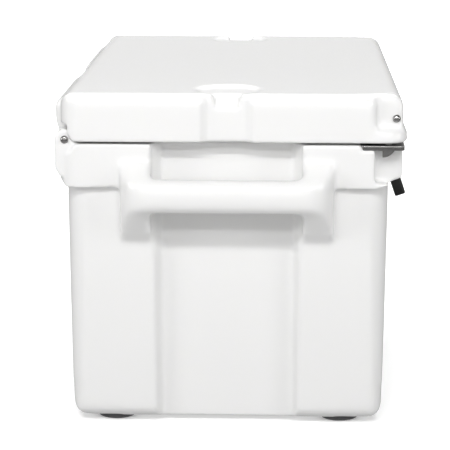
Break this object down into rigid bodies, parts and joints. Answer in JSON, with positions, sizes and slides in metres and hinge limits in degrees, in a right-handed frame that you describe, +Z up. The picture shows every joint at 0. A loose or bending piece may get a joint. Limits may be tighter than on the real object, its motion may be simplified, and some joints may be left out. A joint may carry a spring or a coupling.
{
  "type": "hard-sided cooler",
  "caption": "Foam-filled hard cooler with hinged lid, rubber T-latches, moulded end handles, stainless lock plates, round feet and a screw-in drain plug.",
  "frame": {"origin": "centre of the overall box on the ground", "axes": "+X along the length, +Y towards the hinge at the rear (the latches face -Y), +Z up"},
  "size_m": [0.676, 0.4224, 0.403],
  "materials": {
    "shell_plastic": "satin",
    "foam": "matte",
    "plug_plastic": "satin",
    "seal_rubber": "matte",
    "latch_rubber": "satin",
    "foot_rubber": "matte",
    "stainless": "polished",
    "drain_plastic": "satin"
  },
  "bodies": {
    "body": {"body_shell": "shell_plastic", "body_foam": "foam", "body_fill_plug": "plug_plastic", "hinge_rod": "stainless", "hinge_rod_cap": "stainless", "lock_plate_left": "stainless", "lock_plate_right": "stainless", "lock_plate_screws": "stainless", "foot_front_left": "foot_rubber", "foot_front_right": "foot_rubber", "foot_rear_left": "foot_rubber", "foot_rear_right": "foot_rubber", "foot_screws": "stainless", "drain_bushing": "drain_plastic", "drain_nut": "drain_plastic", "drain_gasket": "seal_rubber"},
    "lid": {"lid_shell": "shell_plastic", "lid_foam": "foam", "lid_fill_plug": "plug_plastic", "lid_gasket": "seal_rubber", "latch_rod_left": "stainless", "latch_rod_right": "stainless"},
    "latch_left": {"latch_left": "latch_rubber"},
    "latch_right": {"latch_right": "latch_rubber"},
    "drain_ring": {"drain_plug_ring": "seal_rubber"},
    "drain_plug": {"drain_plug": "drain_plastic"}
  },
  "joints": [
    {"name": "lid_hinge", "type": "hinge", "parent": "body", "child": "lid", "pos_m": [0, 0.19467, 0.349], "axis": [-1, 0, 0], "range_deg": [0, 105]},
    {"name": "latch_left_swing", "type": "hinge", "parent": "lid", "child": "latch_left", "pos_m": [-0.15, -0.19153, 0.375], "axis": [-1, 0, 0], "range_deg": [0, 135], "deforming": ["latch_left"]},
    {"name": "latch_right_swing", "type": "hinge", "parent": "lid", "child": "latch_right", "pos_m": [0.15, -0.19153, 0.375], "axis": [-1, 0, 0], "range_deg": [0, 135], "deforming": ["latch_right"]},
    {"name": "drain_plug_travel", "type": "slide", "parent": "body", "child": "drain_ring", "axis": [1, 0, 0], "range_m": [0, 0.01202]},
    {"name": "drain_plug_turn", "type": "hinge", "parent": "drain_ring", "child": "drain_plug", "pos_m": [0.28, 0.00517, 0.072], "axis": [1, 0, 0], "range_deg": [0, 1080]}
  ],
  "couplings": [
    {"joint": "drain_plug_travel", "follows": "drain_plug_turn", "m_per_rad": 0.00063662}
  ]
}
